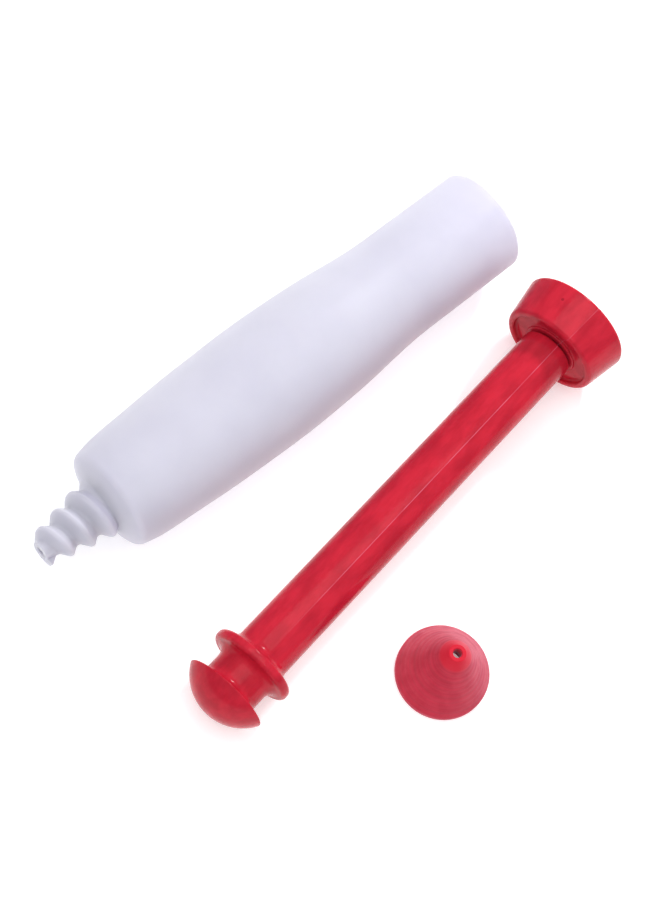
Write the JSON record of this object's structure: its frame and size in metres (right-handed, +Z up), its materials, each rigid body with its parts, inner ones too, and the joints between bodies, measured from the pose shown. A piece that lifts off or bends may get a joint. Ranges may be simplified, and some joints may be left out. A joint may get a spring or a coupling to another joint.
{
  "type": "silicone decorating pen",
  "caption": "Soft squeeze tube with a slim grip and threaded neck, a long domed plunger with a thumb stopper, and a ringed screw-on cone nozzle, laid out for filling.",
  "frame": {"origin": "on the table, under the middle of the whole laid-out set", "axes": "+X along the tube from its threaded neck to its mouth, +Y from the plunger to the tube, +Z up from the table"},
  "size_m": [0.163, 0.1212, 0.0366],
  "materials": {
    "silicone": "milky translucent silicone, satin",
    "plunger_plastic": "glossy injection-moulded red plastic",
    "nozzle_plastic": "matte red plastic with fine turned rings"
  },
  "bodies": {
    "tube": {"squeeze_tube": "silicone"},
    "plunger": {"plunger_stem": "plunger_plastic", "thumb_stopper": "plunger_plastic"},
    "nozzle": {"nozzle": "nozzle_plastic"}
  },
  "joints": [
    {"name": "plunger_stroke", "type": "slide", "parent": "tube", "child": "plunger", "axis": [0.992, 0.1227, 0.0294], "range_m": [0, 0.116]},
    {"name": "nozzle_screw", "type": "hinge", "parent": "tube", "child": "nozzle", "pos_m": [-0.01432, -0.04757, 0], "axis": [0, 0, 1], "range_deg": [0, 350]}
  ]
}
